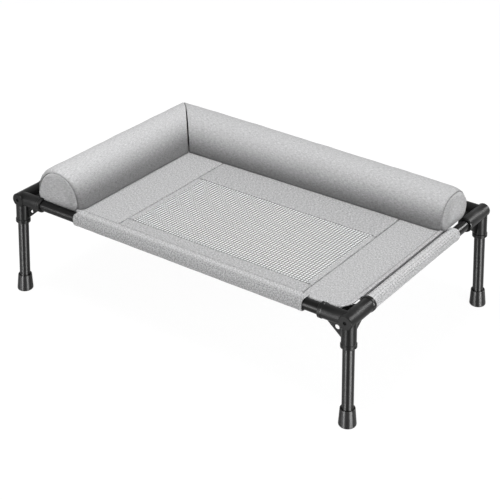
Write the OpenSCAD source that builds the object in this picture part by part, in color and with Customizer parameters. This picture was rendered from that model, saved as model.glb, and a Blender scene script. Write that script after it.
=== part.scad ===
// Raised dog cot: a tube frame on four splayed legs, a slung cloth deck with a
// mesh window, and an L-shaped bolster that lifts off.
// Millimetres. +X is the long side, -Y the open front, +Z up, z = 0 the floor.

/* [Frame] */
// Distance between the corner points along the long side
frame_x = 784; // [640:1:1000]
// Distance between the corner points along the short side
frame_y = 492; // [420:1:640]
// Height of the rail axes above the floor
rail_z = 215; // [170:1:320]
// Outer diameter of every rail and leg tube
tube_d = 22; // [20:0.5:24]
// Wall of every tube
tube_wall = 1.2; // [0.8:0.1:2]
// Outward lean of a leg along the long side, in degrees
splay_x = 2.8; // [0:0.1:4]
// Outward lean of a leg along the short side, in degrees
splay_y = 2.0; // [0:0.1:4]

/* [Corner connectors] */
// Radial play of a tube in its socket
socket_play = 0.15; // [0.05:0.05:0.3]
// Wall of a socket
socket_wall = 2.8; // [2:0.1:4]
// Reach of the long-side socket from the corner point
socket_x = 59; // [54:1:80]
// Reach of the short-side socket from the corner point
socket_y = 68; // [54:1:80]
// Reach of the leg socket from the corner point
socket_z = 54; // [48:1:70]
// Length of the collar at a socket mouth
collar_len = 9; // [6:0.5:12]
// Rise of the collar over the socket
collar_rise = 1.2; // [0.5:0.1:2]
// Bevel on the collar and on the end disc
collar_bevel = 1.4; // [0.8:0.1:1.8]
// Plastic between the through tube and the ends of the other two
core_wall = 3.2; // [2.5:0.1:4]
// Length of the through socket past the corner point
end_past = 14.8; // [14:0.1:18]
// Wall that closes the end of the through socket
end_wall = 5; // [4:0.1:6]
// Extra radius of the socket that the short rail runs through
through_extra = 0.15; // [0:0.05:1]
// Thickness of the three webs
web_t = 2.4; // [2:0.1:5]
// Reach of the webs from the corner point, along the long-side axis
web_x = 63; // [50:1:70]
// Reach of the webs from the corner point, along the short-side axis
web_y = 69; // [50:1:80]
// Reach of the webs from the corner point, along the leg
web_z = 53; // [46:1:60]
// Diameter of the hole in the long-side web
web_hole_d = 10; // [6:0.1:11]
// Place of that hole from the corner point, along both arms
web_hole_in = 23; // [21:0.1:25]

/* [Screws and plugs] */
// Diameter of the recess for the screw head
recess_d = 7; // [6.4:0.1:9]
// Depth of that recess
recess_depth = 3.5; // [3:0.1:3.8]
// Diameter of the screw head
head_d = 6; // [4.5:0.1:6.2]
// Height of the screw head
head_h = 2; // [1.5:0.1:2.5]
// Diameter of the screw shank
shank_d = 3; // [2.5:0.1:3.2]
// Length of the screw shank
shank_len = 12; // [9:0.5:15]
// Length of the plug in the tube end
plug_len = 14; // [12:0.5:20]
// Radial play of the plug in the tube
plug_play = 0.2; // [0.1:0.05:0.4]
// Radial play of the shank in its holes
shank_play = 0.1; // [0.05:0.05:0.3]
// Gap under the screw head
head_gap = 0.1; // [0.05:0.05:0.3]

/* [Feet] */
// Height of a foot
foot_h = 36; // [28:1:45]
// Diameter of a foot at its top rim
foot_top_d = 28.6; // [27:0.1:32]
// Diameter of a foot at the floor
foot_low_d = 33.6; // [33:0.1:40]
// Rubber under the tube end
foot_floor = 7; // [5:0.5:10]
// Bevel of the top rim
foot_bevel = 1; // [0.5:0.1:1.5]

/* [Sleeves] */
// Play between a tube and the cloth round it
sleeve_play = 0.3; // [0.2:0.1:0.6]
// Cloth over the top of a rail
sleeve_top_t = 0.9; // [0.6:0.1:2]
// Slack of the cloth under a rail
sleeve_slack = 2.4; // [1:0.1:4]
// Bare rail from the left corner point to the front and back sleeves
bare_left = 151; // [100:1:180]
// Bare rail from the right corner point to the front and back sleeves
bare_right = 91; // [85:1:140]
// Bare rail from the back corner points to the side sleeves
bare_back = 111; // [85:1:140]
// Gap between the front socket mouths and the side sleeves
mouth_gap = 0.6; // [0.5:0.1:10]
// Gap between the deck's front edge and the long-side collars, at the cloth's height
hem_gap = 0.6; // [0.4:0.1:4]
// Gap between the deck's side edges and the short-side collars, at the cloth's height
edge_gap = 3.1; // [1:0.1:8]
// Reach of the side sleeves under the deck, inwards from the rail axis
tab_in = 38; // [25:1:60]

/* [Deck] */
// Thickness of the deck cloth
cloth_t = 1.6; // [1:0.1:3]
// Cut across the deck's front right corner, along its front edge
cut_front = 25; // [20:1:60]
// Cut across that corner, along its side edge
cut_side = 48; // [40:1:60]
// Rise of the deck over the tops of the tubes
deck_rise = 0.25; // [0:0.05:1]
// Place of the left border seam, from the left corner points
seam_left = 246; // [230:1:270]
// Place of the right border seam, from the right corner points
seam_right = 106; // [100:1:150]
// Place of the mesh's front edge, from the front corner points
mesh_front = 45; // [35:1:80]
// Place of the mesh's back edge, from the back corner points
mesh_back = 225.5; // [200:0.5:260]
// Binding beside the mesh at the left seam
bind_left = 11; // [6:0.5:20]
// Binding beside the mesh at the right seam
bind_right = 8; // [6:0.5:20]
// Gaps of the net along the long side
net_nx = 24; // [10:1:24]
// Gaps of the net along the short side
net_ny = 12; // [6:1:12]
// Width of a strand of the net
strand_w = 3.4; // [2:0.1:5]

/* [Bolster] */
// Radius of the two rolls
roll_r = 62.5; // [50:0.5:70]
// Height of the roll axis over the flat underside
roll_up = 6.5; // [3:0.5:15]
// Place of the left roll's axis, from the left corner points
roll_left = 92; // [88:1:110]
// Place of the back roll's axis, from the back corner points
roll_back = 81; // [78:1:100]
// Place of the left roll's end seam, from the front corner points
end_front = 15; // [15:0.5:40]
// Place of the back roll's end seam, from the right corner points
end_right = 19; // [18:0.5:40]
// Length of the drawn-in end of a roll before its seam
cap_round = 20; // [10:1:30]
// Bulge of an end cap past its seam
cap_bulge = 12; // [6:0.5:20]
// Thickness of the bolster's cover
cover_t = 1.5; // [1:0.1:3]
// Play between the cover and the core
core_play = 0.2; // [0.1:0.1:1]

/* [Hook and loop strips] */
// Thickness of one strip
strip_t = 0.6; // [0.5:0.1:1.5]
// Gap between a hook strip and its loop strip
strip_gap = 0.3; // [0.2:0.1:0.6]
// Width of a strip
strip_w = 20; // [10:1:40]
// Length of a strip
strip_len = 80; // [40:1:90]
// Strips under the left roll
strips_left = 2; // [1:1:3]
// Strips under the back roll
strips_back = 4; // [2:1:5]

/* [Hidden] */
$fn = 48;
// Length by which a cut runs past the piece
over = 1;
black = "#2b2b2d";
rubber = "#262628";
cloth = "#bcbcbe";
white_net = "#d2d2d4";
tube_r = tube_d / 2;
bore_r = tube_r + socket_play;
socket_r = bore_r + socket_wall;
through_r = socket_r + through_extra;
half_x = frame_x / 2;
half_y = frame_y / 2;
bore_start = bore_r + core_wall;
seat_gap = 0.3;
through_end = end_past - end_wall;
plug_r = tube_r - tube_wall - plug_play;
// The leg's length from the corner point to the floor
lean = sqrt(1 + pow(tan(splay_x), 2) + pow(tan(splay_y), 2));
leg_drop = rail_z * lean;
sleeve_in = tube_r + sleeve_play;
sleeve_out = sleeve_in + (sleeve_top_t + sleeve_slack) / 2;
sleeve_low = (sleeve_slack - sleeve_top_t) / 2;
deck_up = tube_r + deck_rise;
deck_z = rail_z + deck_up;
// Half width of a collar of outer radius r at the height of the deck's underside
function collar_half(r) = sqrt(pow(r + collar_rise, 2) - pow(deck_up - cloth_t, 2));
hem_in = collar_half(socket_r) + hem_gap;
edge_in = collar_half(through_r) + edge_gap;
deck_x = half_x - edge_in;
deck_y = half_y - hem_in;
left_seam_x = -half_x + seam_left;
right_seam_x = half_x - seam_right;
mesh_y0 = -half_y + mesh_front;
mesh_y1 = half_y - mesh_back;
sleeve_x0 = -half_x + bare_left;
sleeve_x1 = half_x - bare_right;
sleeve_y0 = -half_y + socket_y + mouth_gap;
sleeve_y1 = half_y - bare_back;
base_z = deck_z + 2 * strip_t + strip_gap;
axis_z = base_z + roll_up;
left_x = -half_x + roll_left;
back_y = half_y - roll_back;
round_y = -half_y + end_front + cap_round;
round_x = half_x - end_right - cap_round;
cap_n = 40;
cap_rings = 9;
cap_power = 3;
cap_low = asin(roll_up / roll_r);
cap_mid = (roll_r - roll_up) / 2;
cap_deep = cap_round + cap_bulge;

// Puts a piece that is drawn for the back right corner at the corner with signs sx and sy
module at_corner(sx, sy)
    translate([sx * half_x, sy * half_y, rail_z])
        mirror([sx < 0 ? 1 : 0, 0, 0])
            mirror([0, sy < 0 ? 1 : 0, 0])
                children();

// Turns +Z into the direction of the back right leg, downwards and outwards
module down_leg() rotate([splay_y, -splay_x, 0]) mirror([0, 0, 1]) children();

// A socket's outside along +Z, from the corner point to its mouth
module socket_body(reach, r)
    rotate_extrude()
        polygon([
            [0, 0],
            [r, 0],
            [r, reach - collar_len],
            [r + collar_rise, reach - collar_len + collar_bevel],
            [r + collar_rise, reach - collar_bevel],
            [r + collar_rise - collar_bevel, reach],
            [0, reach]
        ]);

// The closed end of the through socket along +Z, with a bevelled end disc
module socket_end(r)
    rotate_extrude()
        polygon([[0, 0], [r, 0], [r, end_past - collar_bevel], [r - collar_bevel, end_past], [0, end_past]]);

// A triangular web in the plane of the two axes, from the corner point
module web(reach_a, reach_b)
    linear_extrude(web_t, center = true)
        polygon([[0, 0], [reach_a, 0], [0, reach_b]]);

module corner(sx, sy) color(black) at_corner(sx, sy)
    difference() {
        union() {
            rotate([0, -90, 0]) socket_body(socket_x, socket_r);
            rotate([90, 0, 0]) socket_body(socket_y, through_r);
            rotate([-90, 0, 0]) socket_end(through_r);
            down_leg() socket_body(socket_z, socket_r);
            rotate([90, 0, 0]) mirror([1, 0, 0]) mirror([0, 1, 0]) web(web_x, web_z);
            rotate([0, 90, 0]) mirror([0, 1, 0]) web(web_z, web_y);
            mirror([1, 0, 0]) mirror([0, 1, 0]) web(web_x, web_y);
        }
        rotate([0, -90, 0]) translate([0, 0, bore_start]) cylinder(h = socket_x, r = bore_r);
        rotate([90, 0, 0]) translate([0, 0, -through_end]) cylinder(h = socket_y + end_past, r = bore_r);
        down_leg() translate([0, 0, bore_start]) cylinder(h = socket_z, r = bore_r);
        translate([-web_hole_in, 0, -web_hole_in]) rotate([90, 0, 0])
            cylinder(h = 2 * web_t, d = web_hole_d, center = true);
        rotate([-90, 0, 0]) {
            translate([0, 0, end_past - recess_depth]) cylinder(h = end_past, d = recess_d);
            cylinder(h = end_past + over, r = shank_d / 2 + shank_play);
        }
    }

// A length of tube along +Z
module tube(len)
    difference() {
        cylinder(h = len, r = tube_r);
        translate([0, 0, -over]) cylinder(h = len + 2 * over, r = tube_r - tube_wall);
    }

module leg(sx, sy) color(black) at_corner(sx, sy) down_leg()
    translate([0, 0, bore_start + seat_gap])
        tube(leg_drop - foot_floor - bore_start - 2 * seat_gap);

// A rubber cup on the tube's axis, cut level with the floor
module foot(sx, sy) color(rubber)
    difference() {
        at_corner(sx, sy) down_leg() difference() {
            rotate_extrude()
                polygon([
                    [0, leg_drop - foot_h],
                    [foot_top_d / 2 - foot_bevel, leg_drop - foot_h],
                    [foot_top_d / 2, leg_drop - foot_h + foot_bevel],
                    [foot_low_d / 2, leg_drop],
                    [foot_low_d / 2, leg_drop + foot_floor / 2],
                    [0, leg_drop + foot_floor / 2]
                ]);
            translate([0, 0, leg_drop - foot_h - over])
                cylinder(h = foot_h - foot_floor + over, r = bore_r);
        }
        translate([sx * half_x, sy * half_y, -foot_h / 2])
            cube([6 * foot_low_d, 6 * foot_low_d, foot_h], center = true);
    }

module long_rail(sy) color(black)
    translate([-half_x + bore_start + seat_gap, sy * half_y, rail_z])
        rotate([0, 90, 0])
            tube(frame_x - 2 * (bore_start + seat_gap));

module short_rail(sx) color(black)
    translate([sx * half_x, half_y + through_end - seat_gap, rail_z])
        rotate([90, 0, 0])
            tube(frame_y + 2 * (through_end - seat_gap));

// Section of a sleeve round a rail at the origin, with its tab towards +X
module sleeve_section(tab_len, tab_z)
    difference() {
        union() {
            translate([0, -sleeve_low]) circle(sleeve_out);
            translate([0, tab_z]) square([tab_len, cloth_t]);
        }
        circle(sleeve_in);
    }

// The front and back sleeves run on into the deck, level with it
module long_sleeve(sy) color(cloth)
    translate([sleeve_x0, sy * half_y, rail_z])
        mirror([0, sy > 0 ? 1 : 0, 0])
            rotate([90, 0, 90])
                linear_extrude(sleeve_x1 - sleeve_x0)
                    sleeve_section(hem_in, deck_up - cloth_t);

// The side sleeves are sewn to the underside of the deck
module short_sleeve(sx) color(cloth)
    translate([sx * half_x, sleeve_y1, rail_z])
        mirror([sx > 0 ? 1 : 0, 0, 0])
            rotate([90, 0, 0])
                linear_extrude(sleeve_y1 - sleeve_y0)
                    sleeve_section(tab_in, deck_up - 2 * cloth_t);

// Flat deck cloth from a plan
module deck_cloth() translate([0, 0, deck_z - cloth_t]) linear_extrude(cloth_t) children();

// The deck is cut across its corners, to the ends of the sleeves
module deck_left_panel() color(cloth)
    deck_cloth()
        polygon([
            [left_seam_x, deck_y],
            [sleeve_x0, deck_y],
            [-deck_x, sleeve_y1],
            [-deck_x, sleeve_y0],
            [sleeve_x0, -deck_y],
            [left_seam_x, -deck_y]
        ]);

module deck_right_panel() color(cloth)
    deck_cloth()
        polygon([
            [right_seam_x, -deck_y],
            [deck_x - cut_front, -deck_y],
            [deck_x, -deck_y + cut_side],
            [deck_x, sleeve_y1],
            [sleeve_x1, deck_y],
            [right_seam_x, deck_y]
        ]);

module deck_strip(y0, y1) color(cloth)
    deck_cloth()
        translate([left_seam_x, y0])
            square([right_seam_x - left_seam_x, y1 - y0]);

// Net of square gaps with a plain binding along the two seams
module mesh_panel() color(white_net) {
    net_x0 = left_seam_x + bind_left;
    pitch_x = (right_seam_x - bind_right - net_x0) / net_nx;
    pitch_y = (mesh_y1 - mesh_y0) / net_ny;
    deck_cloth()
        difference() {
            translate([left_seam_x, mesh_y0])
                square([right_seam_x - left_seam_x, mesh_y1 - mesh_y0]);
            for (i = [0 : net_nx - 1], j = [0 : net_ny - 1])
                translate([net_x0 + i * pitch_x, mesh_y0 + j * pitch_y] + [strand_w, strand_w] / 2)
                    square([pitch_x - strand_w, pitch_y - strand_w]);
        }
}

// Places one strip at even steps along each roll
module each_strip() {
    left_len = back_y - roll_r - sleeve_y0;
    back_len = sleeve_x1 - left_x - roll_r;
    for (i = [0 : strips_left - 1])
        translate([left_x - strip_w / 2, sleeve_y0 + (i + 0.5) * left_len / strips_left - strip_len / 2])
            cube([strip_w, strip_len, strip_t]);
    for (i = [0 : strips_back - 1])
        translate([left_x + roll_r + (i + 0.5) * back_len / strips_back - strip_len / 2, back_y - strip_w / 2])
            cube([strip_len, strip_w, strip_t]);
}

module loop_strips() color("#8e8e92") translate([0, 0, deck_z]) each_strip();

module hook_strips() color("#77777b") translate([0, 0, base_z - strip_t]) each_strip();

module corner_screws() color("silver")
    for (sx = [-1, 1], sy = [-1, 1])
        at_corner(sx, sy)
            rotate([-90, 0, 0])
                translate([0, 0, end_past - recess_depth + head_gap]) {
                    cylinder(h = head_h, d = head_d);
                    mirror([0, 0, 1]) cylinder(h = shank_len, d = shank_d);
                }

module rail_plugs() color(black)
    for (sx = [-1, 1], sy = [-1, 1])
        at_corner(sx, sy)
            rotate([-90, 0, 0])
                translate([0, 0, through_end - seat_gap - plug_len])
                    difference() {
                        cylinder(h = plug_len, r = plug_r);
                        translate([0, 0, -over])
                            cylinder(h = plug_len + 2 * over, r = shank_d / 2 + shank_play);
                    }

// Section of a roll about its axis: a round of radius r with a flat underside
module roll_section(r, low)
    intersection() {
        circle(r);
        translate([-r, -low]) square([2 * r, r + low]);
    }

// Half-space on the left roll's side of the mitre, or on the back roll's side
module mitre_side(left)
    translate([left_x, back_y, axis_z])
        rotate(left ? 135 : -45)
            translate([-2 * frame_x, 0, -2 * roll_r])
                cube([4 * frame_x, 4 * frame_x, 4 * roll_r]);

// A roll's section carried along the left side or along the back, cut at the mitre
module left_run()
    intersection() {
        translate([left_x, round_y, axis_z])
            rotate([90, 0, 180])
                linear_extrude(back_y - round_y + 2 * roll_r)
                    children();
        mitre_side(true);
    }

module back_run()
    intersection() {
        translate([left_x - 2 * roll_r, back_y, axis_z])
            rotate([90, 0, 90])
                linear_extrude(round_x - left_x + 2 * roll_r)
                    children();
        mitre_side(false);
    }

// Cloth over a roll, open along the base
module cover_section()
    difference() {
        roll_section(roll_r, roll_up);
        roll_section(roll_r - cover_t, roll_up + cover_t);
    }

// Base cloth between the two lower edges of the cover
module base_section() {
    w = sqrt(pow(roll_r - cover_t, 2) - pow(roll_up, 2)) - core_play;
    translate([-w, -roll_up]) square([2 * w, cover_t]);
}

module core_section() roll_section(roll_r - cover_t - core_play, roll_up - cover_t - core_play);

module bolster_left_cover() color(cloth) left_run() cover_section();
module bolster_back_cover() color(cloth) back_run() cover_section();
module bolster_left_base() color(cloth) left_run() base_section();
module bolster_back_base() color(cloth) back_run() base_section();
module bolster_left_core() color("ivory") left_run() core_section();
module bolster_back_core() color("ivory") back_run() core_section();

// A stuffed end cap over the roll's section, flat where the straight run ends and
// domed along +Z. Ring k is the section drawn in towards the middle of its height,
// and its height and width follow a curve of the third power, round at the rim.
function cap_rim(i) =
    let (a = -cap_low + i * (180 + 2 * cap_low) / (cap_n - 1))
    [roll_r * cos(a), roll_r * sin(a)];
function cap_point(i, k) =
    let (
        a = 90 * k / cap_rings,
        s = pow(cos(a), 2 / cap_power),
        h = pow(sin(a), 2 / cap_power),
        p = cap_rim(i)
    )
    [p[0] * s, cap_mid + (p[1] - cap_mid) * s, cap_deep * h];
module end_cap()
    polyhedron(
        points = concat(
            [for (k = [0 : cap_rings - 1], i = [0 : cap_n - 1]) cap_point(i, k)],
            [[0, cap_mid, cap_deep]]
        ),
        faces = concat(
            [[for (i = [0 : cap_n - 1]) i]],
            [
                for (k = [0 : cap_rings - 2], i = [0 : cap_n - 1])
                    let (a = k * cap_n + i, b = k * cap_n + (i + 1) % cap_n)
                    [a, a + cap_n, b]
            ],
            [
                for (k = [0 : cap_rings - 2], i = [0 : cap_n - 1])
                    let (a = k * cap_n + i, b = k * cap_n + (i + 1) % cap_n)
                    [b, a + cap_n, b + cap_n]
            ],
            [
                for (i = [0 : cap_n - 1])
                    let (a = (cap_rings - 1) * cap_n)
                    [a + i, cap_rings * cap_n, a + (i + 1) % cap_n]
            ]
        )
    );

module bolster_front_cap() color(cloth) translate([left_x, round_y, axis_z]) rotate([90, 0, 0]) end_cap();
module bolster_right_cap() color(cloth) translate([round_x, back_y, axis_z]) rotate([90, 0, 90]) end_cap();

corner(-1, -1);  // corner_front_left
corner(1, -1);  // corner_front_right
corner(-1, 1);  // corner_back_left
corner(1, 1);  // corner_back_right
leg(-1, -1);  // leg_front_left
leg(1, -1);  // leg_front_right
leg(-1, 1);  // leg_back_left
leg(1, 1);  // leg_back_right
foot(-1, -1);  // foot_front_left
foot(1, -1);  // foot_front_right
foot(-1, 1);  // foot_back_left
foot(1, 1);  // foot_back_right
long_rail(-1);  // rail_front
long_rail(1);  // rail_back
short_rail(-1);  // rail_left
short_rail(1);  // rail_right
long_sleeve(-1);  // sleeve_front
long_sleeve(1);  // sleeve_back
short_sleeve(-1);  // sleeve_left
short_sleeve(1);  // sleeve_right
deck_left_panel();
deck_right_panel();
deck_strip(-deck_y, mesh_y0);  // deck_front_strip
deck_strip(mesh_y1, deck_y);  // deck_back_strip
mesh_panel();
loop_strips();
corner_screws();
rail_plugs();
bolster_left_cover();
bolster_back_cover();
bolster_front_cap();
bolster_right_cap();
bolster_left_base();
bolster_back_base();
bolster_left_core();
bolster_back_core();
hook_strips();
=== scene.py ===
import math

import bpy
import numpy as np
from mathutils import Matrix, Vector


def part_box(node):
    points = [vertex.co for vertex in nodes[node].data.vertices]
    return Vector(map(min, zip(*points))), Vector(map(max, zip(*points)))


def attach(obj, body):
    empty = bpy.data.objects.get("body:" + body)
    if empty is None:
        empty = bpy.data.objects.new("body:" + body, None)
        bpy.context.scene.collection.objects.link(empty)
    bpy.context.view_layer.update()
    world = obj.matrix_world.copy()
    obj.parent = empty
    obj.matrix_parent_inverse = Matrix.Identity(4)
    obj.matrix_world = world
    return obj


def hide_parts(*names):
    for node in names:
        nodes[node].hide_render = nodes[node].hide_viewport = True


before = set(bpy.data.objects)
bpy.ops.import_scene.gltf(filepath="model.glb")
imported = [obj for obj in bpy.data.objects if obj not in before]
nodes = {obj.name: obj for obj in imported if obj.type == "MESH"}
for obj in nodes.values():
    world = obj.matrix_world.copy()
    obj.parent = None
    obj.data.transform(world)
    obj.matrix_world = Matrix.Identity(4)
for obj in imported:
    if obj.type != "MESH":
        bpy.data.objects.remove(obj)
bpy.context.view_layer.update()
scene = bpy.context.scene
scene.view_settings.view_transform = "Standard"

# Camera
# A long lens from the front right, above the cot and looking down at it, from the
# place where the photograph was taken.
CAMERA_PLACE = (1.32031, -1.81202, 1.37576)
CAMERA_AZIMUTH = 36.03
CAMERA_ELEVATION = 29.44
CAMERA_LENS = 90.05
camera = bpy.data.objects.new("camera", bpy.data.cameras.new("camera"))
camera.data.lens = CAMERA_LENS
camera.location = CAMERA_PLACE
camera.rotation_euler = (math.radians(90 - CAMERA_ELEVATION), 0, math.radians(CAMERA_AZIMUTH))
scene.collection.objects.link(camera)
scene.camera = camera


# Studio
# A wide white floor under a white sky, a soft lamp overhead and a weak one from the
# right. Four more lamps give gloss alone and draw the light streaks on the black pieces.
class Sock:
    """An output of a shader node. Its sums, differences and products are Math nodes. node() adds others."""

    def __init__(self, out):
        """Keeps the output."""
        self.out = out

    def node(self, kind, settings=None, sockets=None, output=0):
        """Adds a node of this kind, sets it up, fills its sockets and returns one of its outputs."""
        tree = self.out.id_data
        made = tree.nodes.new(kind)
        for key, value in (settings or {}).items():
            setattr(made, key, value)
        for key, value in (sockets or {}).items():
            if isinstance(value, Sock):
                tree.links.new(value.out, made.inputs[key])
            else:
                made.inputs[key].default_value = value
        return Sock(made.outputs[output])

    def math(self, operation, other=0.0, turned=False):
        """A Math node on this and another value, the other one first where turned."""
        first, second = (other, self) if turned else (self, other)
        return self.node("ShaderNodeMath", {"operation": operation}, {0: first, 1: second})

    def __add__(self, other):
        """This plus a value."""
        return self.math("ADD", other)

    def __sub__(self, other):
        """This less a value."""
        return self.math("SUBTRACT", other)

    def __rsub__(self, other):
        """A value less this."""
        return self.math("SUBTRACT", other, True)

    def __mul__(self, other):
        """This times a value."""
        return self.math("MULTIPLY", other)

    __radd__ = __add__
    __rmul__ = __mul__

    def sine(self):
        """The sine of this angle."""
        return self.math("SINE")

    def between(self, low, high):
        """0 at low, 1 at high, held outside them."""
        sockets = {"Value": self, "From Min": low, "From Max": high}
        return self.node("ShaderNodeMapRange", {"clamp": True}, sockets)

    def mix(self, first, second):
        """The first colour where this is 0 and the second where it is 1."""
        sockets = {0: self, 6: (*first, 1), 7: (*second, 1)}
        return self.node("ShaderNodeMix", {"data_type": "RGBA"}, sockets, 2)

    def stretched(self, across, along, up=1.0):
        """This vector times three numbers."""
        sockets = {0: self, 1: (across, along, up)}
        return self.node("ShaderNodeVectorMath", {"operation": "MULTIPLY"}, sockets)

    def noise(self, scale, detail=2.0):
        """Soft noise over this vector, with about scale spots to each unit of it."""
        return self.node("ShaderNodeTexNoise", {}, {"Vector": self, "Scale": scale, "Detail": detail})

    def into(self, socket):
        """Links this to a socket."""
        self.out.id_data.links.new(self.out, socket)


def white_to_eye(tree):
    """1 for camera, mirror and see-through rays, and 0 for the rays that carry light to the object."""
    path = tree.nodes.new("ShaderNodeLightPath")
    seen = [Sock(path.outputs[f"Is {ray} Ray"]) for ray in ("Camera", "Glossy", "Transmission")]
    return seen[0].math("MAXIMUM", seen[1]).math("MAXIMUM", seen[2])


WHITE = (1, 1, 1, 1)
SKY_LEVEL = 0.34
world = bpy.data.worlds.new("sky")
world.use_nodes = True
scene.world = world
sky = world.node_tree.nodes["Background"]
sky.inputs["Color"].default_value = WHITE
(white_to_eye(world.node_tree) * (1 - SKY_LEVEL) + SKY_LEVEL).into(sky.inputs["Strength"])

FLOOR_HALF = 30.0
FLOOR_COLOUR = (0.8, 0.8, 0.8, 1)
FLOOR_ROUGH = 0.9
FLOOR_WHITE = 0.88
FLOOR_GLOW = 1.08
floor_mesh = bpy.data.meshes.new("floor")
floor_corners = FLOOR_HALF * np.array([(-1, -1, 0), (1, -1, 0), (1, 1, 0), (-1, 1, 0)])
floor_mesh.from_pydata(floor_corners.tolist(), [], [(0, 1, 2, 3)])
floor = bpy.data.objects.new("floor", floor_mesh)
scene.collection.objects.link(floor)
floor_finish = bpy.data.materials.new("floor_finish")
floor_finish.use_nodes = True
floor_tree = floor_finish.node_tree
floor_paint = floor_tree.nodes["Principled BSDF"]
floor_paint.inputs["Base Color"].default_value = FLOOR_COLOUR
floor_paint.inputs["Roughness"].default_value = FLOOR_ROUGH
floor_paint.inputs["Specular IOR Level"].default_value = 0.0
floor_share = white_to_eye(floor_tree) * FLOOR_WHITE
floor_glow = floor_share.node("ShaderNodeEmission", {}, {"Color": WHITE, "Strength": FLOOR_GLOW})
floor_mixed = floor_share.node(
    "ShaderNodeMixShader", {}, {0: floor_share, 1: Sock(floor_paint.outputs[0]), 2: floor_glow}
)
floor_mixed.into(floor_tree.nodes["Material Output"].inputs["Surface"])
floor_mesh.materials.append(floor_finish)

DECK_MIDDLE = (0.05, 0.0, 0.2)
STREAK_AWAY = 4.0


def soft_lamp(name, angle, lift, away, width, height, watts):
    """A rectangular lamp that faces the deck from an angle round the cot, an angle of lift and a
    distance."""
    lamp = bpy.data.lights.new(name, "AREA")
    lamp.shape = "RECTANGLE"
    lamp.size = width
    lamp.size_y = height
    lamp.energy = watts
    holder = bpy.data.objects.new(name, lamp)
    turn, rise = math.radians(angle), math.radians(lift)
    toward = Vector((math.cos(turn) * math.cos(rise), math.sin(turn) * math.cos(rise), math.sin(rise)))
    holder.location = Vector(DECK_MIDDLE) + toward * away
    holder.rotation_euler = toward.to_track_quat("Z", "Y").to_euler()
    scene.collection.objects.link(holder)
    return holder


for name, angle, lift, away, width, height, watts in (
    ("top_lamp", -115, 79, 2.4, 1.1, 1.1, 40),
    ("side_fill", -18, 20, 2.2, 1.2, 1.0, 15),
):
    fill = soft_lamp(name, angle, lift, away, width, height, watts)
    fill.visible_glossy = False
for side, angle, lift, width, height, watts in (
    ("left", -96, 4, 1.0, 0.9, 560),
    ("right", -16, 4, 1.9, 0.9, 900),
    ("back", 54, 29, 1.0, 1.4, 130),
    ("low", -122, 6, 1.0, 0.8, 100),
):
    strip = soft_lamp(f"{side}_strip", angle, lift, STREAK_AWAY, width, height, watts)
    strip.visible_diffuse = False


# Tube frame
# Four rails and four legs of round steel tube with a black powder coat, pushed into the
# connectors. The long rails are duller than the short ones. The whole cot is sized from them.
def finish_named(name, roughness=0.5, specular=0.5):
    """A new material: itself, its Principled shader, and its Object coordinates."""
    finish = bpy.data.materials.new(name)
    finish.use_nodes = True
    shader = finish.node_tree.nodes["Principled BSDF"]
    shader.inputs["Roughness"].default_value = roughness
    shader.inputs["Specular IOR Level"].default_value = specular
    place = finish.node_tree.nodes.new("ShaderNodeTexCoord")
    return finish, shader, Sock(place.outputs["Object"])


def bumped(shader, height, strength, distance):
    """Feeds a height to the shader's normal."""
    sockets = {"Height": height, "Strength": strength, "Distance": distance}
    height.node("ShaderNodeBump", {}, sockets).into(shader.inputs["Normal"])


def dressed(finish, *names):
    """Gives CAD nodes this finish."""
    for name in names:
        nodes[name].data.materials.clear()
        nodes[name].data.materials.append(finish)


QUARTER_TURN = 0.25


def drawn_out(finish, share):
    """Draws the lights on upright faces out into lines that run up and down."""
    shader = finish.node_tree.nodes["Principled BSDF"]
    shader.inputs["Anisotropic"].default_value = share
    shader.inputs["Anisotropic Rotation"].default_value = QUARTER_TURN


COAT_CLOUD = 45.0
TUBE_GRAIN = 900.0
MOULD_GRAIN = 1400.0
CLOUD_ROUGH = 0.08
GRAIN_ROUGH = 0.03
GRAIN_HIGH = 0.0003


def black_coat(name, dark, light, rough, specular, relief, grain=TUBE_GRAIN, scuff=None):
    """A black skin, a little cloudy, with a fine grain in relief. rough is its mean roughness. The clouds
    are flat scuffs where scuff gives their number in a metre across and up."""
    finish, shader, place = finish_named(name, specular=specular)
    fine = place.noise(grain)
    cloud = place.stretched(scuff[0], scuff[0], scuff[1]).noise(1.0) if scuff else place.noise(COAT_CLOUD)
    cloud.mix((dark,) * 3, (light,) * 3).into(shader.inputs["Base Color"])
    least = rough - (CLOUD_ROUGH + GRAIN_ROUGH) / 2
    (cloud * CLOUD_ROUGH + fine * GRAIN_ROUGH + least).into(shader.inputs["Roughness"])
    bumped(shader, fine, relief, GRAIN_HIGH)
    return finish


long_tube_finish = black_coat("black_long_coat", 0.002, 0.004, rough=0.38, specular=0.11, relief=0.08)
short_tube_finish = black_coat("black_powder_coat", 0.002, 0.004, rough=0.22, specular=0.14, relief=0.08)
leg_finish = black_coat("black_leg_coat", 0.003, 0.006, rough=0.42, specular=0.2, relief=0.04)
drawn_out(leg_finish, 0.9)
CORNERS = {"front_left": (-1, -1), "front_right": (1, -1), "back_left": (-1, 1), "back_right": (1, 1)}
dressed(long_tube_finish, "rail_front", "rail_back")
dressed(short_tube_finish, "rail_left", "rail_right")
dressed(leg_finish, *(f"leg_{corner}" for corner in CORNERS))
front_rail_low, front_rail_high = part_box("rail_front")
right_rail_low, right_rail_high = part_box("rail_right")
RAIL_Z = (front_rail_low.z + front_rail_high.z) / 2
TUBE_R = (front_rail_high.z - front_rail_low.z) / 2
HALF_X = (right_rail_low.x + right_rail_high.x) / 2
HALF_Y = -(front_rail_low.y + front_rail_high.y) / 2

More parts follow.
